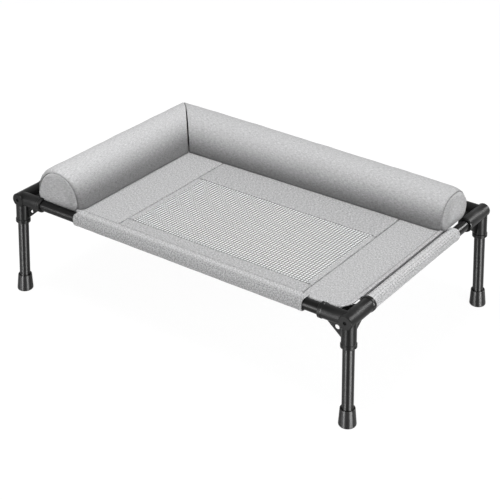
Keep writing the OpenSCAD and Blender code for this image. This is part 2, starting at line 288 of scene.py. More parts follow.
# Corner connectors
# Moulded black plastic with three sockets and thin webs between them. The skin
# is a fine satin texture from the mould.
plastic_finish = black_coat(
    "satin_black_plastic", 0.004, 0.008, rough=0.38, specular=0.12, relief=0.05, grain=MOULD_GRAIN
)
drawn_out(plastic_finish, 0.7)
dressed(plastic_finish, "rail_plugs", *(f"corner_{corner}" for corner in CORNERS))

# Screws
# One dark steel screw sits deep in the end disc of each connector and bites
# into the plug in the tube end.
SCREW_DARK = (0.002, 0.002, 0.002)
SCREW_LIGHT = (0.006, 0.006, 0.006)
SCREW_SCRATCH = 2500.0
screw_finish, screw_shader, screw_place = finish_named("dark_steel")
screw_shader.inputs["Metallic"].default_value = 1.0
screw_scratch = screw_place.noise(SCREW_SCRATCH)
screw_scratch.mix(SCREW_DARK, SCREW_LIGHT).into(screw_shader.inputs["Base Color"])
(screw_scratch * 0.2 + 0.35).into(screw_shader.inputs["Roughness"])
dressed(screw_finish, "corner_screws")


# Feet
# A tapered rubber cup on each leg, flat on the floor, with a rounded tread edge
# and a thin lip that stands off the tube.
def lattice(rows, columns, closed=True):
    """Quads of rows of points, each row closed to a ring or left open, and for each corner of a quad its
    row and column before the ring closes."""
    row, column = np.meshgrid(np.arange(rows - 1), np.arange(columns - 1 + closed), indexing="ij")
    steps = np.array([(0, 0), (1, 0), (1, 1), (0, 1)])
    corner = np.stack([row, column], -1).reshape(-1, 1, 2) + steps
    return corner[..., 0] * columns + corner[..., 1] % columns, corner


def end_faces(rows, columns):
    """The two many-sided faces that close a row of rings at its first and its last ring."""
    ring = np.arange(columns)[None]
    return [ring[:, ::-1], ring + (rows - 1) * columns]


def add_piece(name, points, faces, body, finish, uv=None, seam=None):
    """Makes a closed mesh from points and blocks of faces, turns it the right way out and puts it on a
    body. uv is the cloth's own place of each face corner, in metres. seam is how much painted shade each
    point carries."""
    points = np.asarray(points, float).reshape(-1, 3)
    faces = [face for block in faces for face in np.asarray(block).tolist()]
    fans = np.array([(f[0], f[k], f[k + 1]) for f in faces for k in range(1, len(f) - 1)])
    a, b, c = (points[fans[:, k]] for k in range(3))
    inside_out = np.einsum("ij,ij->", a, np.cross(b, c)) < 0
    if inside_out:
        faces = [face[::-1] for face in faces]
    mesh = bpy.data.meshes.new(name)
    mesh.from_pydata(points.tolist(), [], faces)
    if uv is not None:
        corners = np.concatenate([np.asarray(block).reshape(-1, 2) for block in uv])
        if inside_out:
            ends = np.cumsum([len(face) for face in faces])
            order = [np.arange(first, end)[::-1] for first, end in zip([0, *ends[:-1]], ends)]
            corners = corners[np.concatenate(order)]
        layer = mesh.uv_layers.new(name="cloth")
        layer.data.foreach_set("uv", corners.astype(np.float32).ravel())
    # The seam attribute is painted shade.
    if seam is not None:
        shade = mesh.attributes.new("seam", "FLOAT", "POINT")
        shade.data.foreach_set("value", np.asarray(seam, np.float32).ravel())
    mesh.shade_smooth()
    mesh.materials.append(finish)
    piece = bpy.data.objects.new(name, mesh)
    scene.collection.objects.link(piece)
    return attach(piece, body)


def arc(centre, radius, start, end, count):
    """Points of a circular arc in a plane, angles in degrees."""
    angle = np.radians(np.linspace(start, end, count))
    return np.stack([centre[0] + radius * np.cos(angle), centre[1] + radius * np.sin(angle)], -1)


FOOT_TOP_R = 0.0143
FOOT_LOW_R = 0.0168
FOOT_MIDDLE_R = 0.0002
FOOT_TREAD_R = 0.006
FOOT_TREAD_ROUND = 0.004
FOOT_LIP_ROUND = 0.0011
FOOT_LIP_TURN = 170
FOOT_LIP_GAP = 0.0009
FOOT_GROOVE = 0.005
FOOT_FIT = 0.0001
FOOT_TURNS = 64
FOOT_ARC_POINTS = 9
foot_finish = black_coat(
    "black_rubber", 0.01, 0.02, rough=0.44, specular=0.2, relief=0.04, grain=1100.0, scuff=(55.0, 165.0)
)
drawn_out(foot_finish, 0.9)


def foot_outline(height, bore_r):
    """Radius and height of the cup from its middle under the tread, up the outside, over the lip and
    down the bore."""
    lean = math.degrees(math.atan2(FOOT_LOW_R - FOOT_TOP_R, height))
    bottom = [(FOOT_MIDDLE_R, 0), (FOOT_TREAD_R, 0)]
    tread_middle = (FOOT_LOW_R - FOOT_TREAD_ROUND, FOOT_TREAD_ROUND)
    tread = arc(tread_middle, FOOT_TREAD_ROUND, -90, lean, FOOT_ARC_POINTS)
    lip_middle = (FOOT_TOP_R - FOOT_LIP_ROUND, height - FOOT_LIP_ROUND)
    lip = arc(lip_middle, FOOT_LIP_ROUND, lean, FOOT_LIP_TURN, FOOT_ARC_POINTS)
    groove = [(bore_r + FOOT_LIP_GAP, height - FOOT_GROOVE), (bore_r, height - FOOT_GROOVE)]
    floor_of_bore = [(bore_r, height / 4), (FOOT_MIDDLE_R, height / 4)]
    return np.concatenate([bottom, tread, lip, groove, floor_of_bore])


for corner, (side_x, side_y) in CORNERS.items():
    low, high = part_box(f"foot_{corner}")
    outline = foot_outline(high.z, TUBE_R + FOOT_FIT)
    turn = np.linspace(0, 2 * np.pi, FOOT_TURNS, endpoint=False)
    up = outline[:, None, 1] + 0 * turn
    share = up / RAIL_Z
    middle_x = (low.x + high.x) / 2 * (1 - share) + side_x * HALF_X * share
    middle_y = (low.y + high.y) / 2 * (1 - share) + side_y * HALF_Y * share
    rings = [middle_x + outline[:, :1] * np.cos(turn), middle_y + outline[:, :1] * np.sin(turn), up]
    blocks = [lattice(len(outline), FOOT_TURNS)[0], *end_faces(len(outline), FOOT_TURNS)]
    foot = add_piece(f"rubber_foot_{corner}", np.stack(rings, -1), blocks, "frame", foot_finish)
    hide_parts(f"foot_{corner}")


# Rail sleeves
# Tunnels of the deck's own grey canvas that the rails are pushed through. The
# long ones are the deck's edge turned under, the short ones are sewn below it.
CANVAS_DARK = np.array((0.385, 0.385, 0.39))
CANVAS_LIGHT = np.array((0.61, 0.61, 0.615))
CANVAS_ROUGH = 0.9
CANVAS_GLOSS = 0.08
CANVAS_SHEEN = 0.06
SHEEN_ROUGH = 0.6
YARN = 0.0011
SLUB = 0.0045
COARSE_YARN = 0.55
COARSE_SLUB = 0.7
COARSE_SHARE = 1.5
TONE_LOW = 0.39
TONE_HIGH = 0.61
WEAVE_SHARE = 0.35
WEAVE_STRENGTH = 0.5
WEAVE_HIGH = 0.0005
# Painted shade: how much of the colour the seam attribute takes away at most, and how much of it a painted
# foot leaves at its bottom.
SEAM_SHADE = 0.72
FOOT_SHADE_LEVEL = 0.36


def canvas(name, dark, light, foot=None, streak=0.0, drawn=(0.0011, 0.009)):
    """Grey melange canvas: slubby yarns both ways, a plain weave in relief, and a matt, slightly furry
    skin. It reads the cloth's own UV map, which is in metres. foot is the low and high end of a painted
    shade that darkens the cloth towards its bottom, streak the share of long slubs and drawn how wide and
    long these are. A seam attribute carries painted shade: in seams and creases where the cloth turns in,
    along stitched rows and over the long sleeves' faces."""
    finish, shader, place = finish_named(name, CANVAS_ROUGH, CANVAS_GLOSS)
    shader.inputs["Sheen Weight"].default_value = CANVAS_SHEEN
    shader.inputs["Sheen Roughness"].default_value = SHEEN_ROUGH
    flat = Sock(place.out.node.outputs["UV"])
    warp = flat.stretched(1 / YARN, 1 / SLUB).noise(1.0, 2.0)
    weft = flat.stretched(1 / SLUB, 1 / YARN).noise(1.0, 2.0)
    coarse_warp = flat.stretched(COARSE_YARN / YARN, COARSE_SLUB / SLUB).noise(1.0, 1.0)
    coarse_weft = flat.stretched(COARSE_SLUB / SLUB, COARSE_YARN / YARN).noise(1.0, 1.0)
    tone = warp + weft + coarse_warp * COARSE_SHARE + coarse_weft * COARSE_SHARE
    tone = tone * (1 / (2 + 2 * COARSE_SHARE))
    if streak:
        slubs = flat.stretched(1 / drawn[0], 1 / drawn[1]).noise(1.0, 0.5)
        tone = tone * (1 - streak) + slubs * streak
    shade = tone.between(TONE_LOW, TONE_HIGH).mix(dark, light)
    # The seam attribute is painted shade.
    seam = place.node("ShaderNodeAttribute", {"attribute_name": "seam"}, {}, 2)
    level = 1 - seam * SEAM_SHADE
    # Painted shade: darker from the top of the foot down to its bottom.
    if foot:
        height = Sock(place.node("ShaderNodeSeparateXYZ", {}, {0: place}).out.node.outputs[2])
        sockets = {"Value": height, "From Min": foot[0], "From Max": foot[1], "To Min": FOOT_SHADE_LEVEL}
        level = level * height.node("ShaderNodeMapRange", {"interpolation_type": "SMOOTHSTEP"}, sockets)
    shade = shade.node("ShaderNodeVectorMath", {"operation": "SCALE"}, {0: shade, 3: level})
    shade.into(shader.inputs["Base Color"])
    parts = flat.node("ShaderNodeSeparateXYZ", {}, {0: flat})
    across = parts * (2 * math.pi / YARN)
    along = Sock(parts.out.node.outputs[1]) * (2 * math.pi / YARN)
    weave = across.sine() * along.sine()
    bumped(shader, weave * WEAVE_SHARE + warp + weft, WEAVE_STRENGTH, WEAVE_HIGH)
    (weave * 0.03 + (CANVAS_ROUGH - 0.02)).into(shader.inputs["Roughness"])
    return finish


DECK_SLUBS = (0.0018, 0.004)
LONG_SLUBS = (0.0022, 0.003)
SHORT_SLUBS = (0.0022, 0.004)
deck_canvas = canvas(
    "deck_canvas", CANVAS_DARK * 0.92, CANVAS_LIGHT * 1.05, streak=0.45, drawn=DECK_SLUBS
)
strip_canvas = canvas(
    "strip_canvas", CANVAS_DARK * 0.78, CANVAS_LIGHT * 1.02, streak=0.45, drawn=DECK_SLUBS
)
# The sleeves' canvases are copies of the deck's canvas with lighter tones: painted light for the way each
# sleeve faces the lamps.
long_canvas = canvas(
    "long_sleeve_canvas", CANVAS_DARK * 0.93, CANVAS_LIGHT * 1.15, streak=0.7, drawn=LONG_SLUBS
)
short_canvas = canvas(
    "short_sleeve_canvas", CANVAS_DARK * 1.18, CANVAS_LIGHT * 1.18, streak=0.6, drawn=SHORT_SLUBS
)
SLEEVE_R = 0.0127
SLEEVE_TOP = 0.0122
SLEEVE_T = 0.0009
SLEEVE_STEP = 0.006
LONG_FULL = (2.0, 3.2)
SHORT_FULL = (2.5, 2.5)
SLACK_IN = 0.012
RIM_LONG = 0.009
RIM_EDGE = 0.0006
RIM_EXTRA = 0.0005
RIM_ROUND = 0.0018
RIM_DROP = 0.8
RIM_STEPS = (0, 0.0003, 0.0008, 0.0018, 0.0035, 0.0065, RIM_LONG - RIM_EDGE, RIM_LONG, RIM_LONG + RIM_EDGE)
HEM_DEEP = 0.0017
HEM_LAP = 0.0006
HEM_SINK = 0.0002
HEM_RIDGE = 0.0006
HEM_RIDGE_AT = 0.003
HEM_RIDGE_WIDE = 0.0012
ROW_WIDE = 0.0008
ROW_DEEP = 0.0001
# Painted shade along the stitched rows.
ROW_PAINTED_SHADE = 0.12
ROW_PITCH = 0.0084
# Painted shade over the outer face of the long sleeves, between these tilts in degrees.
FACE_PAINTED_SHADE = 0.39
FACE_TILTS = (5, 50, 82, 96)
# Each wave has a height, a rate along the sleeve, a rate round it and a start.
SLEEVE_WAVES = ((0.0001, 61, 120, 0.0), (0.00008, 143, 0, 1.3))


def sleeve_loop(hem_in, hem_up, hem_down, full, leave=None, count=72):
    """Section of a sleeve about the rail, inwards and up: from the hem over the rail and back under to the
    hem. Two straight runs meet a round at its tangents, or the first one at the angle leave. The round is
    |inwards| ** n + |up| ** n = radius ** n, with n in full for its inner and its outer side. Gives points
    and outward normals."""
    middle = np.array([0, SLEEVE_TOP - SLEEVE_R])
    ends = np.array([(hem_in, hem_up), (hem_in, hem_down)]) - middle
    touch = np.arctan2(*ends.T[::-1]) + np.array([1, -1]) * np.arccos(SLEEVE_R / np.hypot(*ends.T))
    if leave:
        touch[0] = math.radians(leave)
    angle = np.linspace(touch[0], 2 * np.pi + touch[1], count)
    power = np.where(np.cos(angle) < 0, 2 / full[1], 2 / full[0])
    ring = np.stack([np.cos(angle), np.sin(angle)], -1)
    ring = SLEEVE_R * np.sign(ring) * np.abs(ring) ** power[:, None]
    steps = np.linspace(0, 1, 9)[:, None]
    first = ends[0] + (ring[0] - ends[0]) * steps[:-1]
    last = ring[-1] + (ends[1] - ring[-1]) * steps[1:]
    points = np.concatenate([first, ring, last]) + middle
    course = np.gradient(points, axis=0)
    normals = np.stack([course[:, 1], -course[:, 0]], -1) / np.hypot(*course.T)[:, None]
    return points, normals


def stations(start, end, step, fine):
    """Places from start to end about a step apart, with extra ones at the fine distances from both ends."""
    even = np.linspace(start, end, max(2, round((end - start) / step)))
    inner = even[(even > start + fine[-1]) & (even < end - fine[-1])]
    fine = np.asarray(fine)
    return np.concatenate([start + fine, inner, (end - fine)[::-1]])


def sleeve(side, start, end, place, loop, finish, rows=(), face=0.0):
    """Carries a sleeve's section along a rail. The cloth is SLEEVE_T thick, doubled and rounded at its two
    rims, and waves a little where it hangs slack. place turns (along, inwards, up) into the cot's own
    axes. rows are the angles of the stitched rows round the section, where the cloth is pulled in a
    little and shade is painted along them. face is how much shade is painted on its outer side."""
    points, normals = loop
    along = stations(start, end, SLEEVE_STEP, RIM_STEPS)
    girth = np.concatenate([[0], np.cumsum(np.hypot(*np.diff(points, axis=0).T))])
    from_end = np.minimum(along - start, end - along)
    rim = np.clip((RIM_LONG - from_end) / RIM_EDGE, 0, 1) * RIM_EXTRA
    rounded = np.clip(from_end / RIM_ROUND, 0, 1)
    drop = 1 - np.sqrt(rounded * (2 - rounded))
    slack = np.clip(-normals[:, 1] * 0.7 + 0.3, 0, 1) * np.clip(1 - points[:, 0] / SLACK_IN, 0, 1)
    wave = 0.0
    for high, rate, twist, begin in SLEEVE_WAVES:
        wave = wave + high * np.sin(along[:, None] * rate + girth * twist + begin)
    facing = np.degrees(np.arctan2(normals[:, 1], normals[:, 0]))
    lines = [girth[np.argmin(np.abs(facing - row))] for row in rows]
    pulled = sum((np.exp(-(((girth - line) / ROW_WIDE) ** 2)) for line in lines), 0 * girth)
    # Painted shade over the outer face, by its tilt.
    shaded = face * np.interp(180 - facing, FACE_TILTS, (0, 1, 1, 0))
    ridge = HEM_RIDGE * np.exp(-(((girth - HEM_RIDGE_AT) / HEM_RIDGE_WIDE) ** 2))
    skin = rim[:, None] - drop[:, None] * SLEEVE_T * RIM_DROP + wave * slack - pulled * ROW_DEEP + ridge
    inner_skin = wave * slack - SLEEVE_T
    outer = points + skin[..., None] * normals
    inner = points + inner_skin[..., None] * normals
    loop_all = np.concatenate([outer, inner[:, ::-1]], 1)
    count = len(points)
    spots = place(np.broadcast_to(along[:, None], loop_all.shape[:2]), loop_all[..., 0], loop_all[..., 1])
    faces, corner = lattice(len(along), 2 * count)
    around = np.concatenate([girth, girth[::-1], girth[:1]])
    uv = np.stack([around[corner[..., 1]], along[corner[..., 0]]], -1)
    k = np.arange(count - 1)
    ring = np.stack([k, k + 1, 2 * count - 2 - k, 2 * count - 1 - k], -1)
    last = (len(along) - 1) * 2 * count
    end_uv = np.stack([around[ring], 0 * ring], -1)
    piece = add_piece(
        f"canvas_sleeve_{side}", spots, [faces, ring[:, ::-1], ring + last], "frame", finish,
        [uv, end_uv, end_uv], np.tile(np.concatenate([pulled * ROW_PAINTED_SHADE + shaded, 0 * pulled]), len(along)),
    )
    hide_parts(f"sleeve_{side}")


deck_low, deck_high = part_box("deck_left_panel")
DECK_TOP = deck_high.z
HEM_IN = HALF_Y - deck_high.y
hem_up = DECK_TOP - RAIL_Z
long_loop = sleeve_loop(HEM_IN + HEM_LAP, hem_up - HEM_SINK, hem_up - HEM_DEEP, LONG_FULL)
for side, sign in (("front", -1), ("back", 1)):
    low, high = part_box(f"sleeve_{side}")
    sleeve(
        side, low.x, high.x,
        lambda along, inward, up, sign=sign: np.stack([along, sign * (HALF_Y - inward), RAIL_Z + up], -1),
        long_loop, long_canvas, face=FACE_PAINTED_SHADE,
    )
TAB_IN = 0.034
TAB_UP = 0.0094
TAB_DOWN = 0.0078
TAB_LEAVES = 18
SHORT_ROWS = (75, 100, 125, 150)
short_loop = sleeve_loop(TAB_IN, TAB_UP, TAB_DOWN, SHORT_FULL, TAB_LEAVES)
for side, sign in (("left", -1), ("right", 1)):
    low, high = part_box(f"sleeve_{side}")
    sleeve(
        side, low.y, high.y,
        lambda along, inward, up, sign=sign: np.stack([sign * (HALF_X - inward), along, RAIL_Z + up], -1),
        short_loop, short_canvas, SHORT_ROWS,
    )

# Deck panels
# Four flat pieces of canvas sewn round the mesh window. Each seam pulls the cloth
# down into a narrow groove, and the side edges are folded into a raised hem.
# Shade is painted into the cloth beside each seam and along the hem's edge.
EDGE_OUT = 0.0014
mesh_low, mesh_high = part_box("mesh_panel")
sleeve_front_low, sleeve_front_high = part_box("sleeve_front")
sleeve_side_low, sleeve_side_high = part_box("sleeve_right")
roll_left_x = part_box("bolster_left_cover")[1].x
roll_back_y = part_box("bolster_back_cover")[0].y
deck_right_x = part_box("deck_right_panel")[1].x + EDGE_OUT
DECK_T = deck_high.z - deck_low.z
SAG = 0.0016
SEAM_DEEP = 0.0026
SEAM_WIDE = 0.0015
# Painted shade beside the seams: its most and its width.
SEAM_PAINTED_SHADE = 0.55
SEAM_PAINTED_SHADE_WIDE = 0.0011
PUCKER_HIGH = 0.00022
PUCKER_FADE = 0.006
PUCKER_RATE = 700
PUCKER_SHIFTS = 53


def sagged(x, y):
    """Height of the deck: level, with a shallow hollow in the open part beside the rolls, half a sine wave
    each way."""
    across = np.clip((x - roll_left_x) / (deck_right_x - roll_left_x), 0, 1)
    along = np.clip((y + HALF_Y - HEM_IN) / (roll_back_y + HALF_Y - HEM_IN), 0, 1)
    return DECK_TOP - SAG * np.sin(np.pi * across) * np.sin(np.pi * along)


def seam_groove(distance, along):
    """How far a seam pulls the cloth down at a distance from it: a bell curve, with small uneven puckers
    that fade beside it."""
    pucker = PUCKER_HIGH * np.sin(along * PUCKER_RATE + 2 * np.sin(along * PUCKER_SHIFTS))
    return SEAM_DEEP * np.exp(-(distance / SEAM_WIDE) ** 2) + pucker * np.exp(-distance / PUCKER_FADE)


def seam_shade(*distances):
    """How much painted shade darkens the cloth beside the nearest of some seams."""
    nearest = np.minimum.reduce(np.broadcast_arrays(*distances))
    return SEAM_PAINTED_SHADE * np.exp(-((nearest / SEAM_PAINTED_SHADE_WIDE) ** 2))


def slab(name, x, y, z, finish, seam, thickness=DECK_T):
    """A flat piece of cloth on the frame: a grid of points and the same grid lower, joined at the edge."""
    x, y, z, seam = np.broadcast_arrays(x, y, z, seam)
    rows, columns = z.shape
    top = np.stack([x, y, z], -1).reshape(-1, 3)
    faces = lattice(rows, columns, closed=False)[0]
    index = np.arange(rows * columns).reshape(rows, columns)
    edge = np.concatenate([index[0], index[1:, -1], index[-1, -2::-1], index[-2:0:-1, 0]])
    after = np.roll(edge, -1)
    rim = np.stack([after, edge, edge + rows * columns, after + rows * columns], -1)
    flat = np.stack([x, y] if np.ptp(y) > np.ptp(x) else [y, x], -1).reshape(-1, 2)
    place = np.concatenate([flat, flat])
    blocks = [faces, faces[:, ::-1] + rows * columns, rim]
    return add_piece(
        name, np.concatenate([top, top - (0, 0, thickness)]), blocks, "frame", finish,
        [place[block] for block in blocks], np.concatenate([seam.ravel(), 0 * seam.ravel()]),
    )


FINE = (0, 0.0003, 0.0006, 0.001, 0.0014, 0.002, 0.003, 0.005, 0.0068, 0.0074, 0.0078, 0.0084, 0.011)
PANEL_STEP = 0.007
SHARE_STEP = 0.012
HEM_WIDE = 0.0075
HEM_RISE = 0.0009
HEM_STEP = 0.0008
HEM_ROUND = 0.0012
HEM_PULL = 0.7
HEM_SHADE_FAINT = 0.0008
SEAM_SHADE_FAINT = 0.002
CUT_FRONT = 0.011
CUT_SIDE = 0.018
LEFT_CORNER = -0.268
LIP_X = (-0.266, -0.262, -0.2415, -0.24, 0.3, 0.303, 0.3305, 0.3325, 0.3425, 0.344, 0.362, 0.366)
LIP_OUT = (0, 0.0053, 0.0053, 0, 0, 0.0055, 0.0055, 0.0003, 0.0003, 0.0017, 0.0017, 0)
LIP_FADE = 0.02


def left_edge(y):
    """The left edge of the deck: straight between the ends of the side sleeve, cut across to the long
    sleeves."""
    ends = [-deck_high.y, sleeve_side_low.y, sleeve_side_high.y, deck_high.y]
    return np.interp(y, ends, [LEFT_CORNER, deck_low.x, deck_low.x, sleeve_front_low.x])


def right_edge(y):
    """The right edge of the deck: a narrow cut at the open front corner, a long one under the back roll."""
    ends = [-deck_high.y, -deck_high.y + CUT_SIDE, sleeve_side_high.y, deck_high.y]
    return np.interp(y, ends, [deck_right_x - CUT_FRONT, deck_right_x, deck_right_x, sleeve_front_high.x])


def border_panel(name, node, seam_x, edge):
    """The piece between a border seam and the deck's side edge, with the edge folded into a hem. Small lips
    of it stand out over the front rail beside the ends of the sleeve."""
    y = stations(-deck_high.y, deck_high.y, PANEL_STEP, FINE)[:, None]
    width = edge(y) - seam_x
    share = stations(0, 1, SHARE_STEP, np.array(FINE) / abs(width).max())[None]
    x = seam_x + width * share
    from_edge = np.abs(edge(y) - x)
    hem = np.clip((HEM_WIDE - from_edge) / HEM_STEP, 0, 1) * np.clip(from_edge / HEM_ROUND, 0, 1) ** 0.5
    front = np.minimum(y + deck_high.y, deck_high.y - y)
    near = np.clip(1 - (y + deck_high.y) / LIP_FADE, 0, 1)
    pulled = seam_groove(np.abs(x - seam_x), y) + seam_groove(front, x) * HEM_PULL
    z = sagged(x, y) + HEM_RISE * hem - pulled
    y = y - np.interp(x, LIP_X, LIP_OUT) * near ** 2
    # Painted shade along the border seam, the front seam and the edge of the hem.
    shade = seam_shade(np.abs(x - seam_x), front, np.abs(from_edge - HEM_WIDE) + HEM_SHADE_FAINT)
    piece = slab(name, x, y, z, deck_canvas, shade)
    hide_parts(node)
    area = float(abs(np.sum((width[1:] + width[:-1]) / 2 * np.diff(y[:, :1], axis=0))))


border_panel("canvas_left_panel", "deck_left_panel", mesh_low.x, left_edge)
border_panel("canvas_right_panel", "deck_right_panel", mesh_high.x, right_edge)


def cross_strip(name, node, y_low, y_high, hem_y, pull):
    """A strip between the two border seams, sewn to a sleeve at hem_y and to the mesh on its other side,
    where the seam pulls it down by a share."""
    y = stations(y_low, y_high, PANEL_STEP, FINE[:8])[:, None]
    x = stations(mesh_low.x, mesh_high.x, PANEL_STEP, FINE)[None]
    side = np.minimum(x - mesh_low.x, mesh_high.x - x)
    other = y_low + y_high - hem_y
    sewn, hemmed = np.abs(y - other), np.abs(y - hem_y)
    pulled = seam_groove(side, y) + pull * seam_groove(sewn, x) + HEM_PULL * seam_groove(hemmed, x)
    # Painted shade along the seams, fainter on the mesh side where the pull is small.
    shade = seam_shade(side, sewn + SEAM_SHADE_FAINT * (1 - pull), hemmed)
    piece = slab(name, x, y, sagged(x, y) - pulled, strip_canvas, shade)
    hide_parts(node)


cross_strip("canvas_front_strip", "deck_front_strip", -deck_high.y, mesh_low.y, -deck_high.y, 1.0)
cross_strip("canvas_back_strip", "deck_back_strip", mesh_high.y, deck_high.y, deck_high.y, 0.3)

# Stitching
# Rows of short thread stitches along the hems and the sleeves, each a small rounded bar that
# dips into the cloth at both ends. The thread is grey, and pale along most of the long hems.
STITCH_PITCH = 0.0042
STITCH_LONG = 0.0031
STITCH_THICK = 0.0008
STITCH_SIDES = 6
STITCH_NEAR = 1e-4
THREAD_TWIST = 3000.0


def speckled(name, scale, dark, light, rough, relief=0.0, high=0.0, detail=2.0):
    """A matt skin with fine spots of two tones, which also stand up where there is relief."""
    finish, shader, place = finish_named(name, rough, 0.2)
    spots = place.noise(scale, detail)
    spots.mix(dark, light).into(shader.inputs["Base Color"])
    if relief:
        bumped(shader, spots, relief, high)
    return finish


thread_finish = speckled(
    "grey_thread", THREAD_TWIST, (0.09, 0.09, 0.092), (0.18, 0.18, 0.182), 0.7, relief=0.4, high=0.0002
)
pale_thread = speckled("pale_thread", THREAD_TWIST, (0.36, 0.36, 0.365), (0.5, 0.5, 0.505), 0.7)


def repeated(faces, count, each):
    """The faces of one small part, given again for count parts of each points."""
    return (faces + np.arange(count)[:, None, None] * each).reshape(-1, faces.shape[1])


def stitches(name, path, normal, finish=thread_finish, pitch=STITCH_PITCH):
    """Stitches at even steps along a path on a surface of the frame with this normal. Each has five rings
    of six points, thin and low at its ends and thick and high in its middle."""
    path = np.asarray(path, float)
    run = np.concatenate([[0], np.cumsum(np.linalg.norm(np.diff(path, axis=0), axis=1))])
    middle = np.arange(pitch / 2, run[-1] - pitch / 2, pitch)
    before, after = (
        np.stack([np.interp(middle + shift, run, path[:, k]) for k in range(3)], -1)
        for shift in (-STITCH_NEAR, STITCH_NEAR)
    )
    course = (after - before) / np.linalg.norm(after - before, axis=1)[:, None]
    normal = np.broadcast_to(np.asarray(normal, float), course.shape)
    side = np.cross(course, normal)
    ring = np.array([-0.5, -0.36, 0, 0.36, 0.5])
    girth = np.array([0.35, 0.85, 1, 0.85, 0.35]) * STITCH_THICK / 2
    rise = np.array([-0.6, 0.1, 0.35, 0.1, -0.6]) * STITCH_THICK
    angle = np.arange(STITCH_SIDES) * 2 * np.pi / STITCH_SIDES
    across = girth[:, None] * np.cos(angle)
    height = rise[:, None] + girth[:, None] * np.sin(angle)
    spots = (
        (before + after)[:, None, None] / 2
        + course[:, None, None] * (ring * STITCH_LONG)[:, None, None]
        + side[:, None, None] * across[..., None]
        + normal[:, None, None] * height[..., None]
    )
    faces = lattice(len(ring), STITCH_SIDES)[0]
    caps = np.concatenate(end_faces(len(ring), STITCH_SIDES))
    blocks = [repeated(block, len(middle), len(ring) * STITCH_SIDES) for block in (faces, caps)]
    add_piece(name, spots, blocks, "frame", finish)


def on_deck(x, y, lift=0.0):
    """Points on the deck, raised by lift."""
    x, y = np.broadcast_arrays(x, y)
    return np.stack([x, y, sagged(x, y) + lift], -1)


SIDE_ROW_IN = 0.0062
LONG_ROW_IN = 0.0035
LONG_ROW_END = 0.004
LONG_ROW_GAP = 0.001
ROW_POINTS = 60
UPWARDS = (0, 0, 1)
row_y = np.linspace(sleeve_side_low.y, sleeve_side_high.y, ROW_POINTS)
for side, edge, sign in (("left", left_edge, 1), ("right", right_edge, -1)):
    row = on_deck(edge(row_y) + sign * SIDE_ROW_IN, row_y, HEM_RISE)
    stitches(f"hem_stitches_{side}", row, UPWARDS)
for side, y in (("front", -deck_high.y + LONG_ROW_IN), ("back", deck_high.y - LONG_ROW_IN)):
    for part, start, end, thread in (
        ("left", sleeve_front_low.x + LONG_ROW_END, mesh_low.x - LONG_ROW_GAP, thread_finish),
        ("middle", mesh_low.x + LONG_ROW_GAP, sleeve_front_high.x - LONG_ROW_END, pale_thread),
    ):
        row = on_deck(np.linspace(start, end, ROW_POINTS), y)
        stitches(f"hem_stitches_{side}_{part}", row, UPWARDS, thread)
side_points, side_normals = short_loop
for angle in SHORT_ROWS:
    spot = np.argmin(np.abs(np.arctan2(side_normals[:, 1], side_normals[:, 0]) - math.radians(angle)))
    inward, up = side_points[spot]
    for side, sign in (("left", -1), ("right", 1)):
        row = np.stack([0 * row_y + sign * (HALF_X - inward), row_y, 0 * row_y + RAIL_Z + up], -1)
        facing = (-sign * side_normals[spot, 0], 0, side_normals[spot, 1])
        stitches(f"sleeve_stitches_{side}_{angle}", row, facing, pitch=ROW_PITCH)

# Mesh window
# A net of dark coated yarns that pass over and under each other, with a pale cloth close
# under it and a plain canvas binding along its two short sides.
BIND_LEFT = 0.011
BIND_RIGHT = 0.008
BIND_LAP = 0.0025
NET_X = 65
NET_Y = 35
NET_DROP = 0.0007
YARN_WIDE = 0.0013
YARN_THICK = 0.0003
YARN_LIFT = 0.0001
YARN_SIDES = 6
BACK_GAP = 0.0003
BACK_T = 0.0005
BACK_GRID = (70, 40)
BIND_POINTS = 24
net_finish = canvas("net_yarn", (0.012, 0.012, 0.0125), (0.04, 0.04, 0.041))
back_finish = canvas("net_back", (0.885, 0.9, 0.9), (0.955, 0.97, 0.97))
net_left = mesh_low.x + BIND_LEFT
net_right = mesh_high.x - BIND_RIGHT


def yarns(count, runs, run_low, run_high, cross_low, cross_high, phase):
    """Parallel yarns: for each, a ring of points every half gap, lifted at one crossing and lowered at the
    next by a cosine. Gives the points as (along, across, up), the faces of the sides and ends, and the
    cloth's place of both."""
    count = count + 1
    rings = 2 * runs + 1
    along = np.linspace(run_low, run_high, rings)
    across = np.linspace(cross_low, cross_high, count)
    angle = np.linspace(0, 2 * np.pi, YARN_SIDES, endpoint=False)
    crossing = np.arange(rings)[None] / 2 + np.arange(count)[:, None]
    lift = YARN_LIFT * np.cos(np.pi * crossing + phase)
    shape = (count, rings, YARN_SIDES)
    points = np.stack([
        np.broadcast_to(along[None, :, None], shape),
        across[:, None, None] + YARN_WIDE / 2 * np.cos(angle) + np.zeros(shape),
        lift[..., None] + YARN_THICK / 2 * np.sin(angle),
    ], -1)
    faces, corner = lattice(rings, YARN_SIDES)
    sides = repeated(faces, count, rings * YARN_SIDES)
    caps = repeated(np.concatenate(end_faces(rings, YARN_SIDES)), count, rings * YARN_SIDES)
    girth = YARN_WIDE / YARN_SIDES * 2
    uv = np.stack([corner[..., 1] * girth, along[corner[..., 0]]], -1)
    return points, sides, caps, np.tile(uv, (count, 1, 1)), np.zeros((len(caps), YARN_SIDES, 2))


